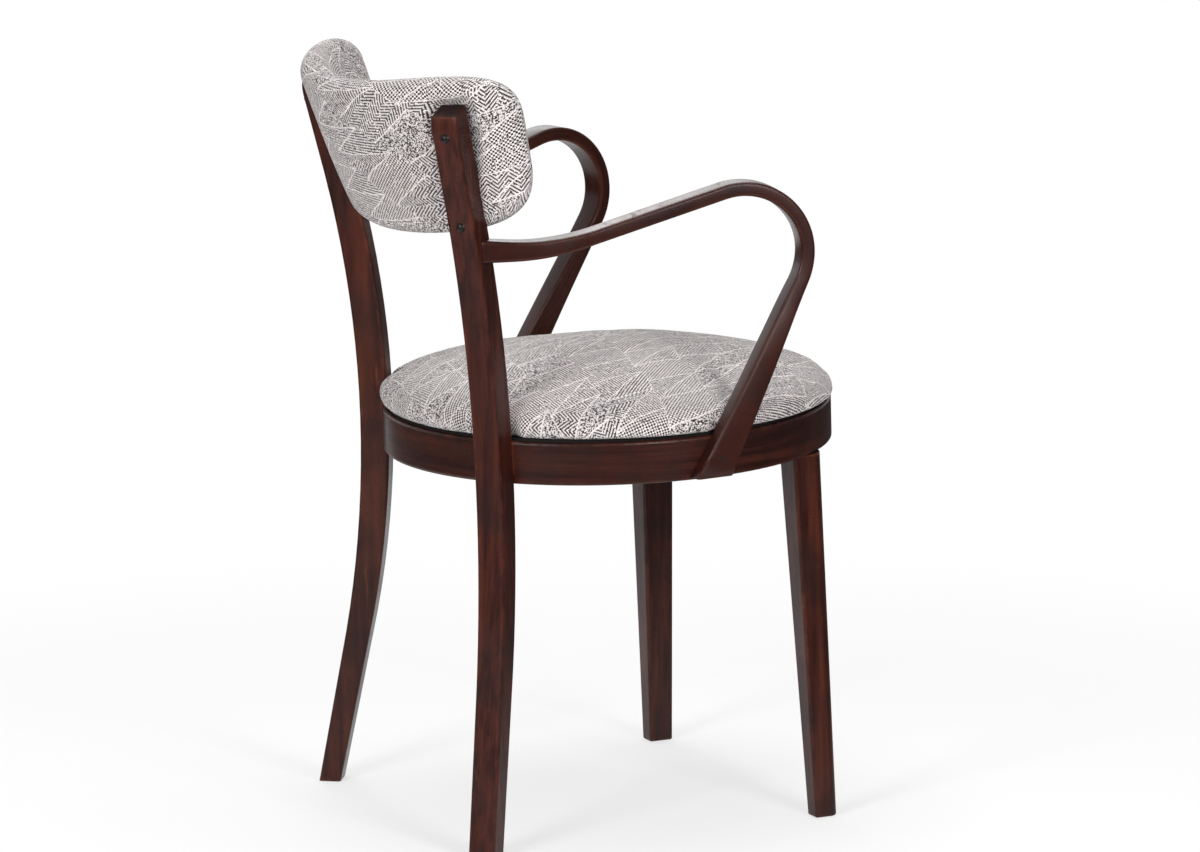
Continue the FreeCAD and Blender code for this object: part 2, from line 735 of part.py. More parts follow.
# Every piece with the holes of what passes through it
pieces = {"seat_ring": cut_all(seat_ring, block_screws + leg_bolts + leg_washers + leg_screws + lap_screws)}
for name, sign in side_names.items():
    def sided(shape):
        return shape if sign > 0 else other_side(shape)
    pieces["rear_leg_" + name] = cut_all(sided(rear_leg_left), leg_bolts + arm_dowels + back_screws)
    pieces["front_leg_" + name] = cut_all(sided(front_leg_left), leg_screws)
    pieces["arm_" + name] = cut_all(sided(arm_left), lap_screws + arm_dowels)
    for place, body in blocks.items():
        pieces["seat_block_" + place + "_" + name] = cut_all(sided(body), block_screws + seat_screws)
pieces["seat_board"] = cut_all(seat_board, seat_screws + cover_staples)
pieces["seat_foam"] = seat_foam
pieces["seat_cover"] = cut_all(seat_cover, cover_staples)
pieces["seat_dust_cover"] = cut_all(seat_dust_cover, seat_screws + cover_staples)
pieces["backrest_panel"] = cut_all(backrest_panel, back_nuts + back_screws)
pieces["backrest_front_foam"] = cut_all(backrest_front_foam, back_nuts + back_screws)
pieces["backrest_rear_foam"] = cut_all(backrest_rear_foam, back_screws)
pieces["backrest_front_cover"] = backrest_front_cover
pieces["backrest_rear_cover"] = cut_all(backrest_rear_cover, back_screws)
groups = {
    "seat_block_screws": block_screws,
    "seat_screws": seat_screws,
    "front_leg_screws": leg_screws,
    "rear_leg_bolts": leg_bolts,
    "rear_leg_washers": leg_washers,
    "arm_front_screws": lap_screws,
    "arm_rear_dowels": arm_dowels,
    "backrest_screws": back_screws,
    "backrest_tee_nuts": back_nuts,
    "seat_cover_staples": cover_staples,
}
for name, solids in groups.items():
    pieces[name] = Part.makeCompound(solids)

# The origin goes to the middle of the chair's depth
whole = Part.makeCompound(list(pieces.values()))
span = whole.optimalBoundingBox(False, False)
shift = V(0, -(span.YMin + span.YMax) / 2, 0)

os.makedirs("parts", exist_ok=True)
for name, shape in pieces.items():
    shape.translate(shift)
    shape.exportStep("parts/" + name + ".step")
    print(name, "solids", len(shape.Solids), "valid", shape.isValid(), "volume", round(shape.Volume))
print("size", round(span.XLength, 1), round(span.YLength, 1), round(span.ZLength, 1), "shift", round(shift.y, 3))
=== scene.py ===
"""Dresses the bentwood armchair: woven seat and back, bent arms, stained wood, studio and camera.

Metres, in the frame of the solids: +Z is up, the front faces -Y and the sitter's left is +X.
"""
import math

import bpy
import numpy as np
from mathutils import Matrix, Vector


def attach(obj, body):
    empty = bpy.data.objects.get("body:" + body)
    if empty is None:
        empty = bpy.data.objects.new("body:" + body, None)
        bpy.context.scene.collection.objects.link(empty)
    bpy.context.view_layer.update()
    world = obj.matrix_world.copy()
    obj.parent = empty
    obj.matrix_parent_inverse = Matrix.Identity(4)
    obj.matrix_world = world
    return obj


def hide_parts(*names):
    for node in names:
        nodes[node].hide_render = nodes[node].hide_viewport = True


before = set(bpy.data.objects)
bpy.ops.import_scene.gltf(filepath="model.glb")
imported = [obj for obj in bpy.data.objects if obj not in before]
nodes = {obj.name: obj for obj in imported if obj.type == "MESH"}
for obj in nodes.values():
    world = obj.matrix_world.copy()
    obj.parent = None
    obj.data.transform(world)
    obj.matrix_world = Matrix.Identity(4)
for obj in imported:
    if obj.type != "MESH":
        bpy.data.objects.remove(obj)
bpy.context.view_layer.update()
scene = bpy.context.scene

# Sizes that follow the solids
RING_CENTRE_Y = -0.0411
RING_FLOOR_HEIGHT = 0.3725
RING_RADIUS = 0.230
SEAT_SLOPE = math.radians(1.56)
PAD_BASE = 0.0462
PAD_RADIUS = 0.2330
PAD_FORWARD = 0.0015
PAD_LIFT = 0.008
PAD_CROWN = 0.046
PAD_LIP = 0.0125
PAD_TILT = math.radians(2.0)
PAD_CLEAR = 0.0002
PAD_UNDERCUT = 0.0085
PAD_BASE_RADII = (0.2205, 0.2, 0.15)
PAD_RIPPLE = 0.0006
PAD_WAVE = 0.0008
PAD_GATHER = 0.00035
PAD_GRID = 121
POST_ANGLE = math.radians(35.6)
POST_HALF_MARK = 0.0135
POST_PRESS = 0.0088
LAP_ANGLE = math.radians(96.0)
LAP_HALF_MARK = 0.016
LAP_PRESS = 0.0055

# Cloth run
RUN_FRAMES = 20
RUN_PRESSURE = 4.0
RUN_FURTHEST = 0.004
HOLD_LEVELS = 20


def smooth_step(x, low, high):
    """Zero below low, one above high, with an eased rise between them."""
    t = np.clip((x - low) / (high - low), 0.0, 1.0)
    return t * t * (3.0 - 2.0 * t)


def plateau(distance, half_width, fade):
    """One within half_width of zero, eased down to zero over fade."""
    return 1.0 - smooth_step(np.abs(distance), half_width, half_width + fade)


def seat_to_chair(x, y, z):
    """Points of the sloped seat's frame, whose origin is on the ring's underside, in the chair's frame."""
    c, s = math.cos(SEAT_SLOPE), math.sin(SEAT_SLOPE)
    return np.stack([x, y * c + z * s + RING_CENTRE_Y, z * c - y * s + RING_FLOOR_HEIGHT], -1)


def new_piece(name, vertices, faces, corner_uv):
    """Smooth mesh object at the origin, with one cloth map given for each face corner."""
    mesh = bpy.data.meshes.new(name)
    mesh.from_pydata(vertices.tolist(), [], faces)
    layer = mesh.uv_layers.new(name="cloth")
    layer.data.foreach_set("uv", corner_uv.astype(np.float32).ravel())
    mesh.polygons.foreach_set("use_smooth", np.ones(len(mesh.polygons), bool))
    mesh.update()
    made = bpy.data.objects.new(name, mesh)
    scene.collection.objects.link(made)
    return made


def grid_quads(rows, columns, closed):
    """Corner numbers of a grid's faces, as [face, 4]. A closed grid joins its last column to its first."""
    row = np.repeat(np.arange(rows - 1), columns if closed else columns - 1)
    column = np.tile(np.arange(columns if closed else columns - 1), rows - 1)
    beside = (column + 1) % columns
    return np.stack([row * columns + column, row * columns + beside,
                     (row + 1) * columns + beside, (row + 1) * columns + column], -1)


def tube_piece(name, points, uv):
    """Closed tube from points [station, around, xyz], whose ends are closed by a fan to their mean point.

    uv is [station, around + 1, 2], so that the seam has its own last column.
    """
    count, around = points.shape[:2]
    quads = grid_quads(count, around, True)
    row, column = quads[:, 0] // around, quads[:, 0] % around
    corner_uv = (uv[row, column], uv[row, column + 1], uv[row + 1, column + 1], uv[row + 1, column])
    loops = [np.stack(corner_uv, 1)]
    first, last = np.arange(around), (count - 1) * around + np.arange(around)
    tips = count * around + np.arange(2)
    start_fan = np.stack([np.roll(first, -1), first, np.full(around, tips[0])], -1)
    end_fan = np.stack([last, np.roll(last, -1), np.full(around, tips[1])], -1)
    for line, flip in ((uv[0], True), (uv[-1], False)):
        pair = (line[1:], line[:-1]) if flip else (line[:-1], line[1:])
        tip_uv = np.repeat(line.mean(0)[None], around, 0)
        loops.append(np.stack([pair[0], pair[1], tip_uv], 1))
    vertices = np.concatenate([points.reshape(-1, 3), points[:1].mean(1), points[-1:].mean(1)])
    faces = quads.tolist() + start_fan.tolist() + end_fan.tolist()
    return new_piece(name, vertices, faces, np.concatenate([part.reshape(-1, 2) for part in loops]))


def swell(piece, held):
    """Tightens a cover over its filling with a short cloth run.

    The air inside presses outwards, there is no gravity, points follow their start as far as they are held
    (0 to 1), and no point moves further than RUN_FURTHEST.
    """
    mesh = piece.data
    start = np.empty(len(mesh.vertices) * 3, np.float32)
    mesh.vertices.foreach_get("co", start)
    pins = piece.vertex_groups.new(name="held")
    levels = np.round(np.clip(held, 0, 1) * HOLD_LEVELS).astype(int)
    for level in range(1, HOLD_LEVELS + 1):
        pins.add(np.flatnonzero(levels == level).tolist(), level / HOLD_LEVELS, "REPLACE")
    cloth = piece.modifiers.new("cloth", "CLOTH")
    settings = cloth.settings
    settings.quality = 5
    settings.mass = 0.3
    settings.use_pressure = True
    settings.uniform_pressure_force = RUN_PRESSURE
    settings.vertex_group_mass = pins.name
    settings.effector_weights.gravity = 0.0
    cloth.collision_settings.use_collision = False
    for number in range(1, RUN_FRAMES + 1):
        scene.frame_set(number)
    settled = piece.evaluated_get(bpy.context.evaluated_depsgraph_get()).data
    moved = np.empty_like(start)
    settled.vertices.foreach_get("co", moved)
    move = (moved - start).reshape(-1, 3)
    length = np.linalg.norm(move, axis=1)[:, None]
    move *= RUN_FURTHEST * np.tanh(length / RUN_FURTHEST) / np.maximum(length, 1e-9)
    piece.modifiers.remove(cloth)
    piece.vertex_groups.remove(pins)
    scene.frame_set(1)
    mesh.vertices.foreach_set("co", start + move.ravel())
    mesh.update()


def seat_cushion():
    """Round crowned seat on a square grid (u, v) laid on the disc.

    The grid is laid by x = u sqrt(1 - v^2/2) and y = v sqrt(1 - u^2/2). Its height is lift + rear tilt
    + lip * sqrt(1 - p^24) + dome * (1 - p^2) at the share p of the radius. Below its widest line the rim
    draws in to the black dust cover by a quarter turn; the cover is a real lining, and its black edge under
    the rim is also a painted shadow gap. The rim is pressed in where a post or an arm stands against it.
    The cloth map's radius is the length of the profile from the middle.
    """
    count = PAD_GRID
    line = np.linspace(-1, 1, count)
    u, v = np.meshgrid(line, line, indexing="ij")
    x, y = u * np.sqrt(1 - v ** 2 / 2), v * np.sqrt(1 - u ** 2 / 2)
    steps = np.arange(count)
    low, high = np.zeros(count, int), np.full(count, count - 1)
    loop = np.concatenate([steps[:-1] * count, high[1:] * count + steps[:-1],
                           steps[:0:-1] * count + high[1:], low[1:] * count + steps[:0:-1]])
    bend = math.radians(84.0)
    share = np.sin(np.minimum(np.hypot(x, y), 1.0) * bend) / math.sin(bend)
    angle = np.arctan2(x, y)

    def pressed(turn):
        """Depth by which a post or an arm presses the rim in."""
        post = plateau((np.abs(turn) - POST_ANGLE) * PAD_RADIUS, POST_HALF_MARK, 0.013)
        arm = plateau((np.abs(turn) - LAP_ANGLE) * PAD_RADIUS, LAP_HALF_MARK, 0.015)
        return POST_PRESS * post + LAP_PRESS * arm

    def rim_height(turn):
        """Height of the widest line, which follows the tilt but never meets the dust cover."""
        plane = 0.6 * (PAD_LIFT + math.tan(PAD_TILT) * PAD_RADIUS * np.cos(turn)) - 0.004
        return 0.0055 + 0.5 * (plane + np.sqrt(plane ** 2 + 0.003 ** 2))

    ripple = PAD_RIPPLE * np.sin(7 * angle + 0.6)
    radius = PAD_RADIUS * share - (pressed(angle) + ripple) * share ** 9
    plane = PAD_LIFT + math.tan(PAD_TILT) * PAD_RADIUS * np.cos(angle) * share
    lifted = (rim_height(angle) - PAD_LIFT - math.tan(PAD_TILT) * PAD_RADIUS * np.cos(angle)) * share ** 6

    def bulge(p):
        """Height over the tilted plane at a share of the radius."""
        dome = (PAD_CROWN - PAD_LIP) * np.maximum(1 - p ** 2, 0)
        return PAD_LIP * np.sqrt(np.maximum(1 - p ** 24, 0)) + dome

    wave = PAD_WAVE * np.sin(3 * angle + 1.1) * share ** 2 * (1 - share ** 2) * 4
    height = plane + lifted + bulge(share) + wave
    rim = angle.ravel()[loop]
    turn = np.linspace(0, np.pi / 2, 10)[1:, None]
    gather = PAD_GATHER * np.sin(46 * rim + 2.0 * np.sin(5 * rim))[None] * np.sin(turn) ** 2
    under_radius = radius.ravel()[loop][None] - PAD_UNDERCUT * (1 - np.cos(turn)) ** 1.2 + gather
    under_height = rim_height(rim)[None] * (1 - np.sin(turn)) + PAD_CLEAR
    base_radius = np.array(PAD_BASE_RADII)[:, None] * np.ones((1, len(loop)))
    base_height = np.full(base_radius.shape, PAD_CLEAR)
    skirt_radius = np.concatenate([under_radius, base_radius])
    skirt_height = np.concatenate([under_height, base_height])
    r = np.concatenate([radius.ravel(), skirt_radius.ravel(), [0.0]])
    z = np.concatenate([height.ravel(), skirt_height.ravel(), [PAD_CLEAR]])
    a = np.concatenate([angle.ravel(), np.tile(rim, len(skirt_radius)), [0.0]])
    vertices = seat_to_chair(r * np.sin(a), r * np.cos(a) - PAD_FORWARD, z + PAD_BASE)
    numbers = count * count + np.arange(skirt_radius.size)
    rows = np.concatenate([loop[None], numbers.reshape(skirt_radius.shape)])
    beside = np.roll(rows, -1, 1)
    skirt = np.stack([rows[:-1], rows[1:], beside[1:], beside[:-1]], -1).reshape(-1, 4)
    fan = np.stack([beside[-1], rows[-1], np.full(len(loop), len(vertices) - 1)], -1)
    top = grid_quads(count, count, False)
    drawn_in = np.diff(np.vstack([radius.ravel()[loop], skirt_radius]), axis=0)
    let_down = np.diff(np.vstack([height.ravel()[loop], skirt_height]), axis=0)
    drop = np.cumsum(np.hypot(drawn_in, let_down), 0)
    profile = np.sin(np.linspace(0, np.pi / 2, 400))
    spans = np.hypot(PAD_RADIUS * np.diff(profile), np.diff(bulge(profile)))
    spread = np.interp(share.ravel(), profile, np.concatenate([[0], np.cumsum(spans)]))
    cloth = np.concatenate([spread, (spread[loop][None] + drop).ravel(), [0.0]])
    flat = np.stack([cloth * np.sin(a), cloth * np.cos(a)], -1)
    faces = top[:, ::-1].tolist() + skirt.tolist() + fan.tolist()
    order = np.concatenate([top[:, ::-1].ravel(), skirt.ravel(), fan.ravel()])
    piece = new_piece("seat_cushion", vertices, faces, flat[order])
    held_top = np.clip(pressed(angle) * 400 * share ** 9, 0, 1).ravel()
    held_skirt = np.ones_like(skirt_radius)
    held_skirt[:len(turn)] = np.maximum(smooth_step(turn, 0.3, 1.5), np.clip(pressed(rim) * 400, 0, 1))
    held = np.concatenate([held_top, held_skirt.ravel(), [1.0]])
    swell(piece, held)
    return piece


# Back panel, round its own leaning axis
BACK_LEAN = math.radians(20.0)
BACK_RADIUS = 0.246
BACK_EDGE = 0.032
BACK_MIDDLE = BACK_RADIUS - BACK_EDGE / 2
BACK_HALF_WIDTH = 0.218
BACK_HEIGHT = 0.165
BACK_FLARE = 0.006
BACK_END_DROP = 0.010
BACK_END_RISE = 0.006
BACK_END_SLANT = 0.17
BACK_TOP_SQUARENESS = 3.6
BACK_LOW_SQUARENESS = 4.6
BACK_END_SQUARENESS = 14.0
BACK_FRONT_CROWN = 0.004
BACK_REAR_CROWN = 0.001
BACK_DEPTH = 0.287 + RING_CENTRE_Y
BACK_CENTRE_HEIGHT = 0.684

# Posts in the panel's frame: angle, its change for each metre up, inner face, its lean, half width and top
BACK_POST_ANGLE = math.radians(37.9)
BACK_POST_TURN = math.radians(37.9)
BACK_POST_FACE = 0.2398
BACK_POST_LEAN = 0.0353
BACK_POST_HALF = 0.0138
BACK_POST_TOP = (0.045, 0.068)
BACK_POST_CLEAR = 0.0006


def back_to_chair(x, y, z):
    """Points of the back panel's own frame, whose Z axis is the panel's axis, in the chair's frame."""
    c, s = math.cos(BACK_LEAN), math.sin(BACK_LEAN)
    outer = BACK_RADIUS + 0.002
    depth = y * c + z * s + BACK_DEPTH - outer * c
    height = z * c - y * s + BACK_CENTRE_HEIGHT + outer * s
    return np.stack([x, depth, height], -1)


def back_cushion():
    """Wrap-round back panel.

    At each share s of the half width the section is a pillow: two faces crowned by 4t(1 - t) and two half
    circles. Its height falls off as (1 - |s|^n)^(1/n) and its thickness as (1 - |s|^14)^(1/2). The rear face
    is pressed in where a post lies against it.
    """
    bend = math.radians(78.0)
    share = np.sin(np.linspace(-1, 1, 181)[1:-1] * bend) / math.sin(bend)
    size = np.abs(share)[:, None]
    highest = BACK_HEIGHT / 2 + BACK_END_RISE * size ** 2
    top = highest * (1 - size ** BACK_TOP_SQUARENESS) ** (1 / BACK_TOP_SQUARENESS)
    lowest = BACK_HEIGHT / 2 + BACK_END_DROP * size ** 2
    bottom = lowest * (1 - size ** BACK_LOW_SQUARENESS) ** (1 / BACK_LOW_SQUARENESS)
    fullness = np.sqrt(1 - size ** BACK_END_SQUARENESS)
    half = np.minimum(BACK_EDGE / 2 * fullness, 0.98 * (top + bottom) / 2)
    flare = BACK_FLARE * fullness
    high, low = top - half, half - bottom
    face = np.linspace(0, 1, 45)[None, :-1]
    half_turn = np.linspace(0, np.pi, 15)[None, :-1]
    bulge = 4 * face * (1 - face)
    rear_out = half + flare * face + BACK_REAR_CROWN * fullness * bulge
    front_out = -half + flare * (1 - face) - BACK_FRONT_CROWN * fullness * bulge
    swing = half * np.cos(half_turn)
    out = np.concatenate([rear_out, flare + swing, front_out, -swing], 1)
    up = np.concatenate([low + (high - low) * face, high + half * np.sin(half_turn),
                         high + (low - high) * face, low - half * np.sin(half_turn)], 1)
    rounded = np.sin(half_turn)
    edge = np.concatenate([0 * face, rounded, 0 * face, rounded], 1) * np.ones_like(size)
    angle = (share * BACK_HALF_WIDTH / BACK_MIDDLE)[:, None] * np.ones_like(out)
    slant = BACK_END_SLANT * share[:, None]
    straighten = 1 / np.sqrt(1 + slant ** 2)
    side, rise = slant * straighten * up, straighten * up
    radius = BACK_MIDDLE + out
    post_angle = BACK_POST_ANGLE + BACK_POST_TURN * rise
    post_face = BACK_POST_FACE - BACK_POST_LEAN * rise
    beside = (np.abs(angle) - post_angle) * BACK_MIDDLE + np.abs(side)
    below_top = 1 - smooth_step(rise, *BACK_POST_TOP)
    press = plateau(beside, BACK_POST_HALF, 0.015) * below_top * (out > 0)
    radius = radius - press * np.maximum(radius - post_face + BACK_POST_CLEAR, 0.0)
    radius = radius + 0.0005 * np.sin(angle * 9 + rise * 40) * (1 - press)
    x = radius * np.sin(angle) + side * np.cos(angle)
    y = radius * np.cos(angle) - side * np.sin(angle)
    points = back_to_chair(x, y, rise)
    steps = np.linalg.norm(np.roll(points, -1, 1) - points, axis=2)
    length = np.concatenate([np.zeros((len(points), 1)), np.cumsum(steps, 1)], 1)
    along = np.repeat((share * BACK_HALF_WIDTH)[:, None], length.shape[1], 1)
    piece = tube_piece("back_cushion", points, np.stack([along, low + length], -1))
    ends = smooth_step(size, 0.93, 0.99)
    held = np.clip(press * 1.5 + 0.6 * edge + 0.8 * ends, 0, 1)
    swell(piece, np.concatenate([held.ravel(), [1.0, 1.0]]))
    return piece


# Arms
ARM_REACH = 0.1045
ARM_TOP_HEIGHT = 0.660
ARM_BEND_RADIUS = 0.065
ARM_POST_HEIGHT = 0.606
ARM_RISE = math.radians(17.0)
ARM_KNEE_RADIUS = 0.270
ARM_LEVEL_RUN = 0.028
ARM_OFFSET = 0.2085
ARM_SPLAY = math.radians(12.4)
ARM_TURN_START = 0.155
ARM_TURN_RADIUS = 0.176
ARM_LAP_BACK = 0.005
ARM_LAP_X = RING_RADIUS - 0.0012 + 0.009
ARM_LAP_CLEAR = 0.0035
ARM_DEPTHS = (0.0230, 0.0140, 0.0340)
ARM_WIDTHS = (0.020, 0.028, 0.018)
ARM_EDGE_ROUND = 0.0028
ARM_DESCENT_STATIONS = 37
ARM_EASE = 0.035


def arm_line():
    """Arm's centre line seen from the side, post to ring: y, z, heading, depth, width and descent share.

    A level run, a wide knee, a rising run that touches the bend, the bend, and the descent's tangent.
    """
    bend_y, bend_z = ARM_BEND_RADIUS - ARM_REACH, ARM_TOP_HEIGHT - ARM_BEND_RADIUS
    end_y = bend_y + ARM_BEND_RADIUS * math.sin(ARM_RISE)
    end_z = bend_z + ARM_BEND_RADIUS * math.cos(ARM_RISE)
    knee_y = end_y + (end_z - ARM_POST_HEIGHT) / math.tan(ARM_RISE)
    tangent = ARM_KNEE_RADIUS * math.tan(ARM_RISE / 2)
    gap_y, gap_z = ARM_LAP_BACK - bend_y, RING_FLOOR_HEIGHT - bend_z
    aim = math.atan2(gap_z, gap_y) + 2 * math.pi
    turn_end = aim - math.acos(ARM_BEND_RADIUS / math.hypot(gap_y, gap_z))
    down_y = bend_y + ARM_BEND_RADIUS * math.cos(turn_end)
    down_z = bend_z + ARM_BEND_RADIUS * math.sin(turn_end)

    def mix(values, t):
        return values[0] + (values[1] - values[0]) * t

    pieces = []
    t = np.linspace(0, 1, 8, endpoint=False)
    taper = 0.35 * t
    level = np.ones_like(t)
    pieces.append((knee_y + tangent + ARM_LEVEL_RUN * (1 - t), ARM_POST_HEIGHT * level, -level, 0 * level,
                   mix(ARM_DEPTHS[:2], taper), mix(ARM_WIDTHS[:2], taper), 0 * level))
    t = np.linspace(0, 1, 18, endpoint=False)
    turn, taper = ARM_RISE * t, 0.35 + 0.65 * t
    pieces.append((knee_y + tangent - ARM_KNEE_RADIUS * np.sin(turn),
                   ARM_POST_HEIGHT + ARM_KNEE_RADIUS * (1 - np.cos(turn)), -np.cos(turn), np.sin(turn),
                   mix(ARM_DEPTHS[:2], taper), mix(ARM_WIDTHS[:2], taper), np.zeros_like(t)))
    t = np.linspace(0, 1, 24, endpoint=False)
    from_y = knee_y - tangent * math.cos(ARM_RISE)
    from_z = ARM_POST_HEIGHT + tangent * math.sin(ARM_RISE)
    level = np.ones_like(t)
    pieces.append((mix((from_y, end_y), t), mix((from_z, end_z), t), -math.cos(ARM_RISE) * level,
                   math.sin(ARM_RISE) * level, ARM_DEPTHS[1] * level, ARM_WIDTHS[1] * level, 0 * level))
    t = np.linspace(0, 1, 44, endpoint=False)
    turn = mix((math.pi / 2 - ARM_RISE, turn_end), t)
    level = np.ones_like(t)
    pieces.append((bend_y + ARM_BEND_RADIUS * np.cos(turn), bend_z + ARM_BEND_RADIUS * np.sin(turn),
                   -np.sin(turn), np.cos(turn), ARM_DEPTHS[1] * level, ARM_WIDTHS[1] * level, 0 * level))
    t = np.append(np.linspace(0, 0.9, ARM_DESCENT_STATIONS - 1), 1.0)
    run = np.hypot(ARM_LAP_BACK - down_y, RING_FLOOR_HEIGHT - down_z)
    level = np.ones_like(t)
    pieces.append((mix((down_y, ARM_LAP_BACK), t), mix((down_z, RING_FLOOR_HEIGHT), t),
                   (ARM_LAP_BACK - down_y) / run * level, (RING_FLOOR_HEIGHT - down_z) / run * level,
                   mix(ARM_DEPTHS[1:], t), mix(ARM_WIDTHS[1:], t), t))
    return [np.concatenate(column) for column in zip(*pieces)], down_y, run


def eased_corner(s, x, rate, corner, reach):
    """Line x(s) and its rate, with the corner replaced by a cubic over the reach to either side."""
    low, high, span = corner - reach, corner + reach, 2 * reach
    x0, x1 = np.interp((low, high), s, x)
    rate0, rate1 = np.interp((low, high), s, rate)
    t = np.clip((s - low) / span, 0, 1)
    curve = x0 + (x1 - x0) * t ** 2 * (3 - 2 * t) + span * t * (1 - t) * (rate0 * (1 - t) - rate1 * t)
    slope = (x1 - x0) * 6 * t * (1 - t) / span + rate0 * (1 - t) * (1 - 3 * t) + rate1 * t * (3 * t - 2)
    inside = (s > low) & (s < high)
    return np.where(inside, curve, x), np.where(inside, slope, rate)


def bent_arm(name, side):
    """Arm of rounded rectangular section carried along its line, cut level near the ring's underside.

    x = offset - y tan(splay) on the run and the bend, turned in to the post at the rear by y^2 / 2R,
    and led to the ring's wall on the descent as (1 - t)^2. The corner below the bend is eased.
    """
    (y, z, forward, rising, depth, width, descent), down_y, run = arm_line()
    turned = np.maximum(y - ARM_TURN_START, 0)
    x = ARM_OFFSET - y * math.tan(ARM_SPLAY) - turned ** 2 / (2 * ARM_TURN_RADIUS)
    slope = -math.tan(ARM_SPLAY) - turned / ARM_TURN_RADIUS
    down = np.arange(len(y)) >= len(y) - ARM_DESCENT_STATIONS
    bend_x = ARM_OFFSET - down_y * math.tan(ARM_SPLAY)
    x = np.where(down, ARM_LAP_X + (bend_x - ARM_LAP_X) * (1 - descent) ** 2, x)
    x_rate = np.where(down, -2 * (bend_x - ARM_LAP_X) * (1 - descent) / run, slope * forward)
    s = np.concatenate([[0], np.cumsum(np.hypot(np.diff(y), np.diff(z)))])
    x, x_rate = eased_corner(s, x, x_rate, s[down][0], ARM_EASE)
    heading = np.stack([x_rate, forward, rising], -1)
    heading /= np.linalg.norm(heading, axis=1)[:, None]
    twist = np.where(down, ARM_SPLAY * (1 - descent), np.arctan(-slope))
    across = np.stack([np.cos(twist), np.sin(twist), np.zeros_like(twist)], -1)
    across -= heading * (across * heading).sum(1)[:, None]
    across /= np.linalg.norm(across, axis=1)[:, None]
    over = np.cross(heading, across)
    quarter = np.linspace(0, np.pi / 2, 7)
    turn = np.concatenate([quarter + i * np.pi / 2 for i in range(4)])
    corner_a = np.repeat([1, -1, -1, 1], 7)
    corner_b = np.repeat([1, 1, -1, -1], 7)
    a = corner_a * (width[:, None] / 2 - ARM_EDGE_ROUND) + ARM_EDGE_ROUND * np.cos(turn)
    b = corner_b * (depth[:, None] / 2 - ARM_EDGE_ROUND) + ARM_EDGE_ROUND * np.sin(turn)
    centre = np.stack([x, y, z], -1)
    points = centre[:, None] + across[:, None] * a[..., None] + over[:, None] * b[..., None]
    level = points[-1, :, 2] - RING_FLOOR_HEIGHT + points[-1, :, 1] * math.tan(SEAT_SLOPE)
    fall = heading[-1, 2] + heading[-1, 1] * math.tan(SEAT_SLOPE)
    points[-1] += heading[-1] * ((ARM_LAP_CLEAR - level) / fall)[:, None]
    points[..., 1] += RING_CENTRE_Y
    points[..., 0] *= side
    along = np.concatenate([[0], np.cumsum(np.linalg.norm(np.diff(centre, axis=0), axis=1))])
    ring = np.concatenate([points, points[:, :1]], 1)
    spans = np.linalg.norm(np.diff(ring, axis=1), axis=2)
    girth = np.concatenate([np.zeros((len(y), 1)), np.cumsum(spans, 1)], 1)
    uv = np.stack([girth, np.repeat(along[:, None], girth.shape[1], 1)], -1)
    if side > 0:
        return tube_piece(name, points, uv)
    return tube_piece(name, points[:, ::-1], uv[:, ::-1])


# Shader helpers
def put(tree, kind, inputs=None, **settings):
    """Adds a node, sets its properties, and sets or links its inputs by name or number."""
    made = tree.nodes.new(kind)
    for key, value in settings.items():
        setattr(made, key, value)
    for key, value in (inputs or {}).items():
        if isinstance(value, bpy.types.NodeSocket):
            tree.links.new(value, made.inputs[key])
        else:
            made.inputs[key].default_value = value
    return made


def calc(tree, operation, a, b=0.0, c=0.0):
    """Output of a Math node."""
    return put(tree, "ShaderNodeMath", {0: a, 1: b, 2: c}, operation=operation).outputs[0]


def ramp(tree, value, low, high):
    """Value mapped from low..high to 0..1, clamped and eased."""
    inputs = {"Value": value, "From Min": low, "From Max": high}
    return put(tree, "ShaderNodeMapRange", inputs, interpolation_type="SMOOTHSTEP").outputs["Result"]


def mix_colour(tree, share, a, b, blend="MIX"):
    """Colour a share of the way from a to b."""
    made = put(tree, "ShaderNodeMix", data_type="RGBA", blend_type=blend)
    for socket, value in ((made.inputs[0], share), (made.inputs[6], a), (made.inputs[7], b)):
        if isinstance(value, bpy.types.NodeSocket):
            tree.links.new(value, socket)
        else:
            socket.default_value = value
    return made.outputs[2]


def noise(tree, vector, scale, detail=3.0, roughness=0.55):
    """Noise value at a scale in cells per metre."""
    inputs = {"Vector": vector, "Scale": scale, "Detail": detail, "Roughness": roughness}
    return put(tree, "ShaderNodeTexNoise", inputs).outputs[0]


def group(name, inputs, outputs):
    """New shader group with its entry and exit nodes."""
    tree = bpy.data.node_groups.new(name, "ShaderNodeTree")
    for label, kind in inputs.items():
        tree.interface.new_socket(label, in_out="INPUT", socket_type=kind)
    for label, kind in outputs.items():
        tree.interface.new_socket(label, in_out="OUTPUT", socket_type=kind)
    return tree, tree.nodes.new("NodeGroupInput").outputs, tree.nodes.new("NodeGroupOutput").inputs


def use_group(tree, made, inputs):
    """Group placed in a material, with its own values and links."""
    return put(tree, "ShaderNodeGroup", inputs, node_tree=made)


def material(name):
    """New material with an empty Principled surface."""
    made = bpy.data.materials.new(name)
    made.use_nodes = True
    tree = made.node_tree
    surface = tree.nodes["Principled BSDF"]
    return made, tree, surface


def srgb(r, g, b):
    """Linear colour of an sRGB value from 0 to 255."""
    values = [v / 255 for v in (r, g, b)]
    return tuple(v / 12.92 if v <= 0.04045 else ((v + 0.055) / 1.055) ** 2.4 for v in values) + (1.0,)


VECTOR, FLOAT, COLOUR = "NodeSocketVector", "NodeSocketFloat", "NodeSocketColor"


EDGE_WEAR_REACH = 0.006
EDGE_SOFTNESS = 0.0025


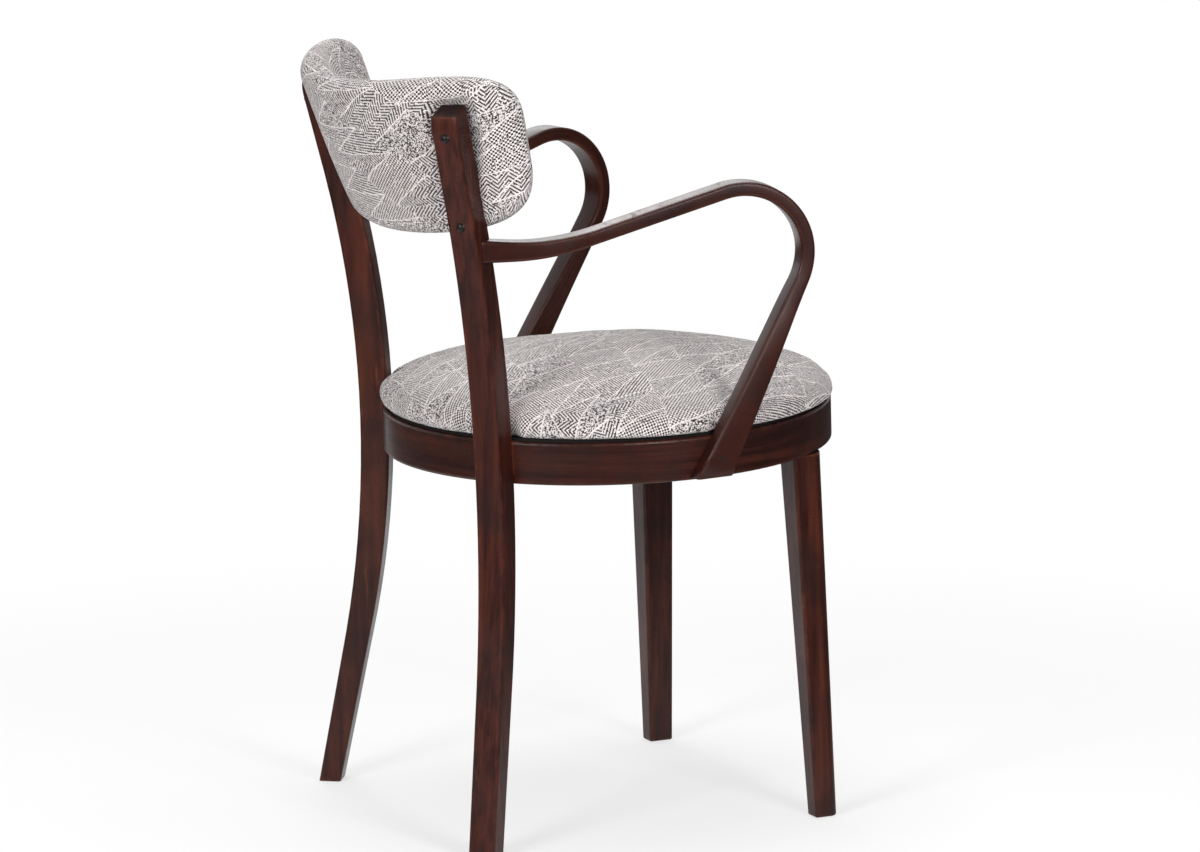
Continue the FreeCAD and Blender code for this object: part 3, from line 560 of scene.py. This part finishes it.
def edge_group():
    """Mask of outer edges: how far a widely rounded normal leaves the true one."""
    tree, enter, leave = group("edge_wear", {"Reach": FLOAT, "Breakup": VECTOR}, {"Edge": FLOAT})
    rounded = put(tree, "ShaderNodeBevel", {"Radius": enter["Reach"]}, samples=6)
    geometry = put(tree, "ShaderNodeNewGeometry")
    pair = {0: rounded.outputs[0], 1: geometry.outputs["Normal"]}
    alike = put(tree, "ShaderNodeVectorMath", pair, operation="DOT_PRODUCT").outputs["Value"]
    edge = ramp(tree, calc(tree, "SUBTRACT", 1.0, alike), 0.02, 0.16)
    patchy = ramp(tree, noise(tree, enter["Breakup"], 60.0, 4.0), 0.38, 0.68)
    tree.links.new(calc(tree, "MULTIPLY", edge, patchy), leave["Edge"])
    return tree


def beech_group():
    """Dark stained beech with long streaks, short dark flecks and worn spots along the vector's Z."""
    inputs = {"Vector": VECTOR, "Edge": FLOAT, "End": FLOAT, "Stain": FLOAT}
    outputs = {"Colour": COLOUR, "Roughness": FLOAT, "Height": FLOAT}
    tree, enter, leave = group("stained_beech", inputs, outputs)

    def drawn_out(share):
        """Vector on which noise is drawn out along the grain."""
        scaled = {"Vector": enter["Vector"], "Scale": (1.0, 1.0, share)}
        return put(tree, "ShaderNodeMapping", scaled).outputs[0]

    def tint(colour, mask, share, target):
        """Colour moved to the target by a share of the mask."""
        return mix_colour(tree, calc(tree, "MULTIPLY", mask, share), colour, target)

    drawn, fleck = drawn_out(0.045), drawn_out(0.11)
    streak = noise(tree, drawn, 170.0, 5.0, 0.62)
    wide = noise(tree, drawn, 42.0, 3.0)
    cloud = noise(tree, enter["Vector"], 13.0, 4.0)
    rubbed = noise(tree, fleck, 75.0, 4.0, 0.6)
    pores = ramp(tree, noise(tree, fleck, 900.0, 2.0), 0.60, 0.72)
    colour = mix_colour(tree, ramp(tree, streak, 0.32, 0.70), srgb(40, 15, 11), srgb(70, 31, 23))
    colour = tint(colour, ramp(tree, wide, 0.48, 0.74), 0.5, srgb(92, 45, 29))
    colour = tint(colour, ramp(tree, cloud, 0.45, 0.68), 0.6, srgb(30, 12, 10))
    colour = tint(colour, ramp(tree, rubbed, 0.66, 0.80), 0.5, srgb(122, 66, 38))
    colour = tint(colour, pores, 0.5, srgb(18, 8, 7))
    colour = mix_colour(tree, enter["Stain"], colour, srgb(16, 6, 5))
    colour = tint(colour, enter["Edge"], 0.6, srgb(150, 80, 48))
    colour = tint(colour, enter["End"], 0.75, srgb(20, 9, 8))
    tree.links.new(colour, leave["Colour"])
    rough = calc(tree, "MULTIPLY_ADD", ramp(tree, cloud, 0.3, 0.7), 0.12, 0.26)
    rough = calc(tree, "MULTIPLY_ADD", enter["End"], 0.2, rough)
    tree.links.new(calc(tree, "MULTIPLY_ADD", pores, 0.12, rough), leave["Roughness"])
    grain = calc(tree, "MULTIPLY_ADD", pores, -0.5, calc(tree, "MULTIPLY", streak, 0.5))
    tree.links.new(grain, leave["Height"])
    return tree


def stained_wood(name, vector_of, stain, end_grain=False):
    """Lacquered wood, whose grain vector comes from vector_of(tree). End grain, if asked for, is darker."""
    made, tree, surface = material(name)
    vector = vector_of(tree)
    edge = use_group(tree, edges, {"Reach": EDGE_WEAR_REACH, "Breakup": vector}).outputs["Edge"]
    wood = use_group(tree, beech, {"Vector": vector, "Edge": edge, "Stain": stain})
    if end_grain:
        facing = put(tree, "ShaderNodeNewGeometry").outputs["True Normal"]
        upward = put(tree, "ShaderNodeSeparateXYZ", {0: facing}).outputs[2]
        tree.links.new(ramp(tree, calc(tree, "ABSOLUTE", upward), 0.72, 0.88), wood.inputs["End"])
    softened = put(tree, "ShaderNodeBevel", {"Radius": EDGE_SOFTNESS}, samples=6).outputs[0]
    relief = {"Strength": 0.25, "Distance": 0.0003, "Height": wood.outputs["Height"], "Normal": softened}
    bump = put(tree, "ShaderNodeBump", relief)
    tree.links.new(wood.outputs["Colour"], surface.inputs["Base Color"])
    tree.links.new(wood.outputs["Roughness"], surface.inputs["Roughness"])
    tree.links.new(bump.outputs[0], surface.inputs["Normal"])
    surface.inputs["Specular IOR Level"].default_value = 0.25
    return made


def upright_grain(tree):
    """Grain along the chair's height."""
    return put(tree, "ShaderNodeTexCoord").outputs["Object"]


def hoop_grain(tree):
    """Grain round the ring: radius, height and length along the circle."""
    at = put(tree, "ShaderNodeSeparateXYZ", {0: put(tree, "ShaderNodeTexCoord").outputs["Object"]}).outputs
    y = calc(tree, "SUBTRACT", at[1], RING_CENTRE_Y)
    square = calc(tree, "MULTIPLY_ADD", at[0], at[0], calc(tree, "MULTIPLY", y, y))
    radius = calc(tree, "SQRT", square)
    length = calc(tree, "MULTIPLY", calc(tree, "ARCTAN2", at[0], y), RING_RADIUS)
    return put(tree, "ShaderNodeCombineXYZ", {0: radius, 1: at[2], 2: length}).outputs[0]


def strip_grain(tree):
    """Grain along a bent strip: length round its section, and length along it."""
    at = put(tree, "ShaderNodeSeparateXYZ", {0: put(tree, "ShaderNodeTexCoord").outputs["UV"]}).outputs
    return put(tree, "ShaderNodeCombineXYZ", {0: at[0], 2: at[1]}).outputs[0]


THREAD = 0.0011
BASKET_THREADS = 1.9
FIELD_SPACING = (0.042, 0.056)
FIELD_LEAN = (math.radians(38.0), math.radians(104.0))
FIELD_WOBBLE = 0.008
FIELD_DIAGONAL = 0.036
BASKET_SHARE = 0.34
HERRINGBONE_SHARE = 0.62
TWILL_SHARE = 0.70


def weave_group():
    """Patchwork of woven fields in cream and charcoal thread.

    Two slanting sets of lines divide the cloth into lozenges, set off from row to row, and some are
    halved by a diagonal. In each field the threads i, j follow one rule: a basket, a herringbone, a
    diagonal twill or a random tweed, turned by the field's own angle. Pale threads mark most of the lines.
    """
    outputs = {"Colour": COLOUR, "Height": FLOAT}
    tree, enter, leave = group("woven_fields", {"Vector": VECTOR, "Turn": FLOAT}, outputs)

    def times(a, b):
        return calc(tree, "MULTIPLY", a, b)

    def rest(a):
        return calc(tree, "SUBTRACT", 1.0, a)

    def below(value, period, limit):
        return calc(tree, "LESS_THAN", calc(tree, "FLOORED_MODULO", value, period), limit)

    def spun(vector, angle):
        turn = {"Vector": vector, "Angle": angle}
        return put(tree, "ShaderNodeVectorRotate", turn, rotation_type="Z_AXIS").outputs[0]

    turned = spun(enter["Vector"], enter["Turn"])
    drift = {"Vector": enter["Vector"], "Scale": 20.0, "Detail": 1.0}
    wobble = put(tree, "ShaderNodeTexNoise", drift).outputs[1]
    reach = {0: wobble, 1: (FIELD_WOBBLE, FIELD_WOBBLE, 0.0)}
    shift = put(tree, "ShaderNodeVectorMath", reach, operation="MULTIPLY").outputs[0]
    laid = put(tree, "ShaderNodeVectorMath", {0: turned, 1: shift}, operation="ADD").outputs[0]
    measures = []
    for spacing, lean in zip(FIELD_SPACING, FIELD_LEAN):
        across = (math.cos(lean) / spacing, math.sin(lean) / spacing, 0.0)
        pair = {0: laid, 1: across}
        measures.append(put(tree, "ShaderNodeVectorMath", pair, operation="DOT_PRODUCT").outputs["Value"])
    row = calc(tree, "FLOOR", measures[1])
    offset = put(tree, "ShaderNodeTexWhiteNoise", {"W": row}, noise_dimensions="1D").outputs[0]
    column_at = calc(tree, "ADD", measures[0], offset)
    column = calc(tree, "FLOOR", column_at)
    part_a, part_b = calc(tree, "FRACT", column_at), calc(tree, "FRACT", measures[1])
    lozenge = put(tree, "ShaderNodeCombineXYZ", {0: column, 1: row}).outputs[0]
    lot = put(tree, "ShaderNodeTexWhiteNoise", {0: lozenge}, noise_dimensions="2D").outputs[0]
    halved = calc(tree, "GREATER_THAN", lot, 0.42)
    diagonal_at = calc(tree, "SUBTRACT", calc(tree, "ADD", part_a, part_b), 1.0)
    half = times(halved, calc(tree, "GREATER_THAN", diagonal_at, 0.0))
    field = put(tree, "ShaderNodeCombineXYZ", {0: column, 1: row, 2: half}).outputs[0]
    cell = put(tree, "ShaderNodeTexWhiteNoise", {0: field}, noise_dimensions="3D").outputs[1]
    kind, tilt, shade = put(tree, "ShaderNodeSeparateColor", {0: cell}).outputs

    def to_line(part, spacing):
        return times(calc(tree, "MINIMUM", part, rest(part)), spacing)

    from_diagonal = times(calc(tree, "ABSOLUTE", diagonal_at), FIELD_DIAGONAL)
    diagonal_gap = calc(tree, "ADD", from_diagonal, rest(halved))
    unmarked = calc(tree, "LESS_THAN", calc(tree, "FRACT", times(lot, 7.0)), 0.45)
    row_gap = calc(tree, "MULTIPLY_ADD", part_b, FIELD_SPACING[1], unmarked)
    gap = calc(tree, "MINIMUM", to_line(part_a, FIELD_SPACING[0]), row_gap)
    gap = calc(tree, "MINIMUM", gap, diagonal_gap)

    lean = calc(tree, "MULTIPLY_ADD", calc(tree, "FLOOR", times(tilt, 4.0)), math.pi / 4, 0.3)
    at = put(tree, "ShaderNodeSeparateXYZ", {0: spun(turned, lean)}).outputs
    across, along = calc(tree, "DIVIDE", at[0], THREAD), calc(tree, "DIVIDE", at[1], THREAD)
    i, j = calc(tree, "FLOOR", across), calc(tree, "FLOOR", along)
    block = calc(tree, "ADD", calc(tree, "FLOOR", calc(tree, "DIVIDE", across, BASKET_THREADS)),
                 calc(tree, "FLOOR", calc(tree, "DIVIDE", along, BASKET_THREADS)))
    basket = below(block, 2.0, 1.0)
    zigzag = calc(tree, "ABSOLUTE", calc(tree, "SUBTRACT", calc(tree, "FLOORED_MODULO", j, 20.0), 10.0))
    herring = below(calc(tree, "ADD", i, zigzag), 4.0, 2.0)
    twill = below(calc(tree, "SUBTRACT", i, j), 4.0, 2.0)
    spot = put(tree, "ShaderNodeCombineXYZ", {0: i, 1: j}).outputs[0]
    chance = put(tree, "ShaderNodeTexWhiteNoise", {0: spot}, noise_dimensions="2D").outputs[0]
    tweed = calc(tree, "GREATER_THAN", chance, 0.46)

    def pick(limit, first, second):
        chosen = calc(tree, "LESS_THAN", kind, limit)
        return calc(tree, "ADD", times(chosen, first), times(rest(chosen), second))

    dark = pick(BASKET_SHARE, basket, pick(HERRINGBONE_SHARE, herring, pick(TWILL_SHARE, twill, tweed)))
    stray = calc(tree, "GREATER_THAN", chance, 0.93)
    dark = calc(tree, "ABSOLUTE", calc(tree, "SUBTRACT", dark, stray))
    line = calc(tree, "LESS_THAN", gap, calc(tree, "MULTIPLY_ADD", chance, 0.0009, 0.0002))
    dark = times(dark, rest(line))
    plain = below(calc(tree, "ADD", i, j), 2.0, 1.0)
    under = times(times(plain, rest(line)), calc(tree, "GREATER_THAN", kind, BASKET_SHARE))
    pale = mix_colour(tree, chance, srgb(201, 194, 193), srgb(238, 231, 229))
    pale = mix_colour(tree, times(under, 0.3), pale, srgb(150, 143, 143))
    deep = mix_colour(tree, shade, srgb(20, 18, 21), srgb(52, 48, 52))
    deep = mix_colour(tree, times(under, 0.2), deep, srgb(118, 111, 113))
    tree.links.new(mix_colour(tree, dark, pale, deep), leave["Colour"])

    def rib(value):
        return calc(tree, "ABSOLUTE", calc(tree, "SINE", times(value, math.pi)))

    ridge = times(rib(across), rib(along))
    tree.links.new(calc(tree, "MULTIPLY_ADD", dark, -0.25, ridge), leave["Height"])
    return tree


def woven_cover(name, turn):
    """Coarse woven upholstery on the piece's own cloth map."""
    made, tree, surface = material(name)
    vector = put(tree, "ShaderNodeTexCoord").outputs["UV"]
    cloth = use_group(tree, weave, {"Vector": vector, "Turn": turn})
    relief = {"Strength": 0.5, "Distance": 0.0006, "Height": cloth.outputs["Height"]}
    bump = put(tree, "ShaderNodeBump", relief)
    tree.links.new(cloth.outputs["Colour"], surface.inputs["Base Color"])
    tree.links.new(bump.outputs[0], surface.inputs["Normal"])
    surface.inputs["Roughness"].default_value = 0.92
    surface.inputs["Specular IOR Level"].default_value = 0.2
    surface.inputs["Sheen Weight"].default_value = 0.15
    return made


def plain_finish(name, low, high, scale, roughness, metallic=0.0, specular=0.4):
    """Simple finish whose colour and gloss vary with noise."""
    made, tree, surface = material(name)
    vector = put(tree, "ShaderNodeTexCoord").outputs["Object"]
    value = noise(tree, vector, scale, 4.0)
    tree.links.new(mix_colour(tree, ramp(tree, value, 0.3, 0.7), low, high), surface.inputs["Base Color"])
    tree.links.new(calc(tree, "MULTIPLY_ADD", value, 0.2, roughness - 0.1), surface.inputs["Roughness"])
    bump = put(tree, "ShaderNodeBump", {"Strength": 0.2, "Distance": 0.0002, "Height": value})
    tree.links.new(bump.outputs[0], surface.inputs["Normal"])
    surface.inputs["Metallic"].default_value = metallic
    surface.inputs["Specular IOR Level"].default_value = specular
    return made


def dress(made, *names):
    """Gives CAD nodes a material."""
    for name in names:
        slots = nodes[name].data.materials
        slots.clear()
        slots.append(made)


edges = edge_group()
beech = beech_group()
weave = weave_group()
upright = stained_wood("stained_beech_upright", upright_grain, 0.08, True)
hoop = stained_wood("stained_beech_hoop", hoop_grain, 0.36)
strip = stained_wood("stained_beech_strip", strip_grain, 0.28)
seat_cloth = woven_cover("woven_seat_cover", 0.45)
back_cloth = woven_cover("woven_back_cover", -0.35)
# Black dust cover: a real lining, whose black edge under the seat pad is also a painted shadow gap
lining_and_shadow_gap = plain_finish("black_lining", srgb(10, 10, 11), srgb(22, 21, 22), 900.0, 0.9)
dark_steel = plain_finish("dark_steel", srgb(26, 22, 21), srgb(44, 38, 36), 400.0, 0.36, 0.6)
zinc = plain_finish("zinc_steel", srgb(150, 150, 152), srgb(182, 182, 184), 500.0, 0.38, 1.0)
raw_wood = plain_finish("raw_wood", srgb(168, 128, 86), srgb(196, 156, 110), 60.0, 0.7)

dress(upright, "rear_leg_left", "rear_leg_right", "front_leg_left", "front_leg_right")
dress(hoop, "seat_ring")
dress(lining_and_shadow_gap, "seat_dust_cover")
dress(dark_steel, "backrest_screws")
dress(zinc, "seat_block_screws", "seat_screws", "front_leg_screws", "rear_leg_bolts", "rear_leg_washers",
      "arm_front_screws", "backrest_tee_nuts", "seat_cover_staples")
dress(raw_wood, "seat_block_front_left", "seat_block_front_right", "seat_block_rear_left",
      "seat_block_rear_right", "arm_rear_dowels", "seat_board", "backrest_panel")

seat = seat_cushion()
back = back_cushion()
for piece, cloth, replaced in (
        (seat, seat_cloth, ("seat_cover", "seat_foam")),
        (back, back_cloth, ("backrest_front_cover", "backrest_rear_cover", "backrest_front_foam",
                            "backrest_rear_foam"))):
    piece.data.materials.append(cloth)
    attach(piece, "root")
    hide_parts(*replaced)

for name, side in (("left", 1), ("right", -1)):
    piece = bent_arm("bent_arm_" + name, side)
    piece.data.materials.append(strip)
    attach(piece, "root")
    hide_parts("arm_" + name)

# Floor
FLOOR_HALF_SIZE = 14.0
FLOOR_HEIGHT = -0.0005
floor_mesh = bpy.data.meshes.new("floor")
signs = ((-1, -1), (1, -1), (1, 1), (-1, 1))
corners = [(x * FLOOR_HALF_SIZE, y * FLOOR_HALF_SIZE, FLOOR_HEIGHT) for x, y in signs]
floor_mesh.from_pydata(corners, [], [(0, 1, 2, 3)])
floor = bpy.data.objects.new("floor", floor_mesh)
scene.collection.objects.link(floor)


# Directions on the floor from the chair to the backdrop and to the camera's left
AHEAD = (0.895, -0.446, 0.0)
LEFTWARD = (0.446, 0.895, 0.0)
WHITE = (1.0, 1.0, 1.0, 1.0)
PAPER_GREY = (0.86, 0.86, 0.86, 1.0)
PAINTED_DARK_ROOM_GREY = (0.12, 0.12, 0.12, 1.0)
WHITE_UNDER_CHAIR = 0.64


def dot(tree, vector, axis):
    """Length of a vector along an axis."""
    return put(tree, "ShaderNodeVectorMath", {0: vector, 1: axis}, operation="DOT_PRODUCT").outputs["Value"]


def seen_directly(tree, mirrored):
    """How far a ray sees the white itself, and whether it comes from a mirror.

    One for rays from the camera or glass, the share mirrored for rays from a mirror, zero for others.
    """
    path = put(tree, "ShaderNodeLightPath").outputs
    direct = calc(tree, "MAXIMUM", path["Is Camera Ray"], path["Is Transmission Ray"])
    from_mirror = path["Is Glossy Ray"]
    return calc(tree, "MAXIMUM", direct, calc(tree, "MULTIPLY", from_mirror, mirrored)), from_mirror


# White paper sweep: mirrors see its edges to the left, to the right and towards the camera, and beyond them
# a floor painted dark grey for mirror rays only, a painted dark reflection of the room
paper, tree, surface = material("white_paper")
surface.inputs["Roughness"].default_value = 0.9
surface.inputs["Specular IOR Level"].default_value = 0.0
place = put(tree, "ShaderNodeTexCoord").outputs["Object"]
to_left = dot(tree, place, LEFTWARD)
across = calc(tree, "MULTIPLY", ramp(tree, to_left, -0.7, -0.1), ramp(tree, to_left, 1.3, 0.7))
on_paper = calc(tree, "MULTIPLY", across, ramp(tree, dot(tree, place, AHEAD), -1.4, -0.6))
direct, in_mirror = seen_directly(tree, on_paper)
mirror_sees_painted_dark = calc(tree, "MULTIPLY", in_mirror, calc(tree, "SUBTRACT", 1.0, on_paper))
# Painted dark reflection: off the paper, mirror rays see a dark grey floor while the camera sees white paper
tone = mix_colour(tree, mirror_sees_painted_dark, PAPER_GREY, PAINTED_DARK_ROOM_GREY)
tree.links.new(tone, surface.inputs["Base Color"])
glow = put(tree, "ShaderNodeEmission", {"Color": WHITE, "Strength": 1.0})
around = put(tree, "ShaderNodeVectorMath", {0: place}, operation="LENGTH")
far = ramp(tree, around.outputs["Value"], 0.45, 1.35)
keep = calc(tree, "MULTIPLY_ADD", far, 1.0 - WHITE_UNDER_CHAIR, WHITE_UNDER_CHAIR)
share = calc(tree, "MULTIPLY", keep, direct)
blend = put(tree, "ShaderNodeMixShader", {0: share, 1: surface.outputs[0], 2: glow.outputs[0]})
tree.links.new(blend.outputs[0], tree.nodes["Material Output"].inputs["Surface"])
floor_mesh.materials.append(paper)

# Studio light: white backdrop behind the chair, dimmer walls, less light from the camera's right
world = bpy.data.worlds.new("studio")
scene.world = world
world.use_nodes = True
tree = world.node_tree
tree.nodes.clear()
direction = put(tree, "ShaderNodeTexCoord").outputs["Generated"]
backdrop = ramp(tree, dot(tree, direction, (1.0, 0.0, 0.0)), 0.25, 0.70)
direct, _ = seen_directly(tree, backdrop)
strength = calc(tree, "MULTIPLY_ADD", dot(tree, direction, LEFTWARD), 0.12, 0.26)
seen = put(tree, "ShaderNodeBackground", {"Color": WHITE, "Strength": 1.0})
light = put(tree, "ShaderNodeBackground", {"Color": (1.0, 0.99, 0.98, 1), "Strength": strength})
both = put(tree, "ShaderNodeMixShader", {0: direct, 1: light.outputs[0], 2: seen.outputs[0]})
put(tree, "ShaderNodeOutputWorld", {0: both.outputs[0]})


def softbox(name, place, target, width, height, power):
    """Rectangular lamp at place, turned to target and hidden from the camera."""
    lamp = bpy.data.lights.new(name, "AREA")
    lamp.shape = "RECTANGLE"
    lamp.size, lamp.size_y, lamp.energy = width, height, power
    made = bpy.data.objects.new(name, lamp)
    made.location = place
    made.rotation_euler = (Vector(target) - Vector(place)).to_track_quat("-Z", "Y").to_euler()
    made.visible_camera = False
    scene.collection.objects.link(made)


softbox("top_light", (0.3, -0.2, 2.7), (0, 0, 0.4), 1.5, 1.5, 36.0)
softbox("left_light", (-1.22, 2.07, 1.35), (0, 0, 0.4), 0.7, 0.7, 36.0)
softbox("right_light", (-2.37, -0.25, 1.25), (0, 0, 0.4), 0.7, 0.7, 34.0)
softbox("back_light", (2.3, -0.7, 1.6), (0, 0, 0.6), 1.6, 0.8, 12.0)

# Camera at the photograph's place
CAMERA_PLACE = Vector((-5.720, 2.858 + RING_CENTRE_Y, 1.597))
CAMERA_HEADING = math.radians(-26.48)
CAMERA_PITCH = math.radians(10.72)
CAMERA_ROLL = math.radians(-0.19)
CAMERA_LENS = 190.25
ahead = Vector((math.cos(CAMERA_HEADING) * math.cos(CAMERA_PITCH),
                math.sin(CAMERA_HEADING) * math.cos(CAMERA_PITCH), -math.sin(CAMERA_PITCH)))
right = ahead.cross(Vector((0, 0, 1))).normalized()
above = right.cross(ahead)
rolled_right = right * math.cos(CAMERA_ROLL) + above * math.sin(CAMERA_ROLL)
rolled_above = above * math.cos(CAMERA_ROLL) - right * math.sin(CAMERA_ROLL)
lens = bpy.data.cameras.new("camera")
lens.lens = CAMERA_LENS
lens.sensor_width = 36.0
camera = bpy.data.objects.new("camera", lens)
camera.matrix_world = Matrix((rolled_right, rolled_above, -ahead)).transposed().to_4x4()
camera.location = CAMERA_PLACE
scene.collection.objects.link(camera)
scene.camera = camera
scene.view_settings.view_transform = "Standard"
